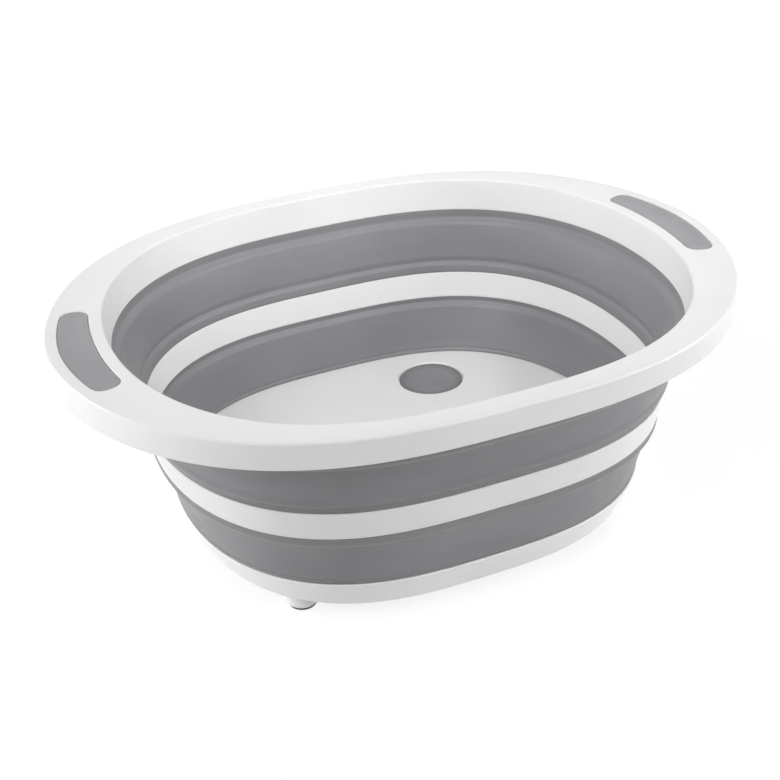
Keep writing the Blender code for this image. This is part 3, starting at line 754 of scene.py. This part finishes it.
def add_plug():
    """A dished disc over a hollow tapered bung."""
    top, bottom = PLUG_HIGH.z, PLUG_LOW.z
    under_disc = top - PLUG_DISC
    dish = PLUG_RADIUS - PLUG_RIM
    shares = [step / DISH_RINGS for step in range(DISH_RINGS + 1)]
    profile = [(dish * share, top - PLUG_DISH * (1 - share ** DISH_POWER)) for share in shares]
    profile += [(PLUG_RADIUS - inset, top - drop)
                for inset, drop in reversed(fillet(PLUG_EDGE, SOFT_EDGE_STEPS))]
    bung_tip = BUNG_RADIUS - BUNG_TAPER
    inside = bung_tip - BUNG_WALL
    profile += [(PLUG_RADIUS, under_disc), (BUNG_RADIUS, under_disc),
                (BUNG_RADIUS, (under_disc + bottom) / 2), (bung_tip, bottom), (inside, bottom),
                (inside, under_disc), (0, under_disc - PLUG_DISH)]
    mesh = turned_mesh("drain_plug_fine", profile, [DRAIN])
    smooth(mesh)
    finish_piece(link_piece(mesh, PLUG_GREY), "drain_plug", "plug")


# Stage, camera and light

CAMERA_PLACE = (-0.2378, -0.5905, 0.4344)
CAMERA_AZIMUTH = math.radians(-21.38)
CAMERA_ELEVATION = math.radians(29.78)
CAMERA_ROLL = math.radians(-3.2)
CAMERA_LENS = 59.36
CAMERA_NEAR = 0.01
SENSOR = 36.0
STAGE_SIZE = 12.0
STAGE_COLOUR = (0.97, 0.97, 0.97, 1.0)
STAGE_ROUGHNESS = 0.9
STAGE_SPECULAR = 0.1
WHITE_LIGHT = (1.0, 1.0, 1.0, 1.0)
GLOW_STRENGTH = 1.14
# The glow's share of what is seen of the floor, and how far from the basin's middle each holds
GLOW_SHARES = (0.72, 1.0)
GLOW_REACH = (0.35, 0.90)
LIGHT_DISTANCE = 1.5
SOFTBOX_SIZE = 1.0
LAMP_RADIUS = 0.12
LAMP_SOFTNESS = 1.0
BASIN_MIDDLE = (0, 0, 0.1)
# Name, watts, and degrees round from the front and up
SOFTBOXES = (
    ("right_front_low", 14.6, 60, 15),
    ("right_back", 4.6, 120, 40),
    ("back", 3.1, 180, 40),
    ("left_back_low", 20.4, 240, 3),
    ("left_front", 8.9, 300, 40),
)
# The same, with what each is aimed at and its cone in degrees
LAMPS = (
    ("inside_from_right", 23.4, 30, 40, (0, 0.12, 0.10), 18),
    ("inside_from_left", 15.5, -30, 40, (0, 0.12, 0.10), 18),
    ("inside_right_end", 20.8, -60, 40, (0.13, 0.02, 0.10), 14),
    ("inside_back_middle", 8.5, -10, 40, (0.07, 0.125, 0.115), 9),
    ("inside_from_top", 8.7, 0, 85, (0, 0.02, 0.05), 24),
)


def away_from(azimuth, elevation):
    """The direction that is this far round from the front, through the right, and this far up."""
    return Vector((math.sin(azimuth) * math.cos(elevation),
                   -math.cos(azimuth) * math.cos(elevation), math.sin(elevation)))


def add_camera():
    back = away_from(CAMERA_AZIMUTH, CAMERA_ELEVATION)
    right = (-back).cross(Vector((0, 0, 1))).normalized()
    up = back.cross(right)
    turned_right = right * math.cos(CAMERA_ROLL) + up * math.sin(CAMERA_ROLL)
    turned_up = up * math.cos(CAMERA_ROLL) - right * math.sin(CAMERA_ROLL)
    data = bpy.data.cameras.new("camera")
    data.lens = CAMERA_LENS
    data.sensor_width = SENSOR
    data.clip_start = CAMERA_NEAR
    camera = bpy.data.objects.new("camera", data)
    camera.matrix_world = Matrix((turned_right, turned_up, back)).transposed().to_4x4()
    camera.location = CAMERA_PLACE
    bpy.context.scene.collection.objects.link(camera)
    bpy.context.scene.camera = camera


def place_light(data, watts, azimuth, elevation, aim):
    """Put a light at a bearing from the front and a height over what it is aimed at."""
    away = away_from(math.radians(azimuth), math.radians(elevation))
    data.energy = watts
    light = bpy.data.objects.new(data.name, data)
    light.location = Vector(aim) + away * LIGHT_DISTANCE
    light.rotation_euler = (-away).to_track_quat("-Z", "Y").to_euler()
    bpy.context.scene.collection.objects.link(light)


def add_softbox(name, watts, azimuth, elevation):
    data = bpy.data.lights.new(name, "AREA")
    data.shape = "SQUARE"
    data.size = SOFTBOX_SIZE
    place_light(data, watts, azimuth, elevation, BASIN_MIDDLE)


def add_lamp(name, watts, azimuth, elevation, aim, cone):
    """A soft-edged lamp that shines down into the basin."""
    data = bpy.data.lights.new(name, "SPOT")
    data.spot_size = math.radians(cone)
    data.spot_blend = LAMP_SOFTNESS
    data.shadow_soft_size = LAMP_RADIUS
    place_light(data, watts, azimuth, elevation, aim)


def seen_directly(tree):
    """One where a ray comes from the camera, a reflection or a refraction."""
    path = tree.nodes.new("ShaderNodeLightPath")
    total = path.outputs["Is Camera Ray"]
    for name in ("Is Glossy Ray", "Is Transmission Ray"):
        add = tree.nodes.new("ShaderNodeMath")
        add.operation = "MAXIMUM"
        tree.links.new(total, add.inputs[0])
        tree.links.new(path.outputs[name], add.inputs[1])
        total = add.outputs[0]
    return total


def add_stage():
    """A pale floor that keeps the shadow near the basin and is seen white further out."""
    mesh = bpy.data.meshes.new("floor")
    half = STAGE_SIZE / 2
    corners = [(-half, -half, 0), (half, -half, 0), (half, half, 0), (-half, half, 0)]
    mesh.from_pydata(corners, [], [(0, 1, 2, 3)])
    material, tree, shader = new_material("pale_floor")
    shader.inputs["Base Color"].default_value = STAGE_COLOUR
    shader.inputs["Roughness"].default_value = STAGE_ROUGHNESS
    shader.inputs["Specular IOR Level"].default_value = STAGE_SPECULAR
    glow = tree.nodes.new("ShaderNodeEmission")
    glow.inputs["Color"].default_value = WHITE_LIGHT
    glow.inputs["Strength"].default_value = GLOW_STRENGTH
    share = tree.nodes.new("ShaderNodeMath")
    share.operation = "MULTIPLY"
    mix = tree.nodes.new("ShaderNodeMixShader")
    tree.links.new(seen_directly(tree), share.inputs[0])
    whitened = spread(tree, level_distance(tree, 0.0, 0.0), *GLOW_SHARES, *GLOW_REACH)
    tree.links.new(whitened, share.inputs[1])
    tree.links.new(share.outputs[0], mix.inputs["Fac"])
    tree.links.new(shader.outputs["BSDF"], mix.inputs[1])
    tree.links.new(glow.outputs["Emission"], mix.inputs[2])
    tree.links.new(mix.outputs["Shader"], tree.nodes["Material Output"].inputs["Surface"])
    link_piece(mesh, material)


def add_world():
    """A world that is seen white and gives no light of its own to matte surfaces."""
    world = bpy.data.worlds.new("studio")
    bpy.context.scene.world = world
    world.use_nodes = True
    tree = world.node_tree
    background = tree.nodes["Background"]
    background.inputs["Color"].default_value = WHITE_LIGHT
    tree.links.new(seen_directly(tree), background.inputs["Strength"])


add_camera()
add_rim()
add_grip(-1, "left_grip")
add_grip(1, "right_grip")
add_mid_ring()
add_walls()
add_base()
add_feet()
add_plug()
add_stage()
add_world()
for softbox in SOFTBOXES:
    add_softbox(*softbox)
for lamp in LAMPS:
    add_lamp(*lamp)
bpy.context.scene.view_settings.view_transform = "Standard"
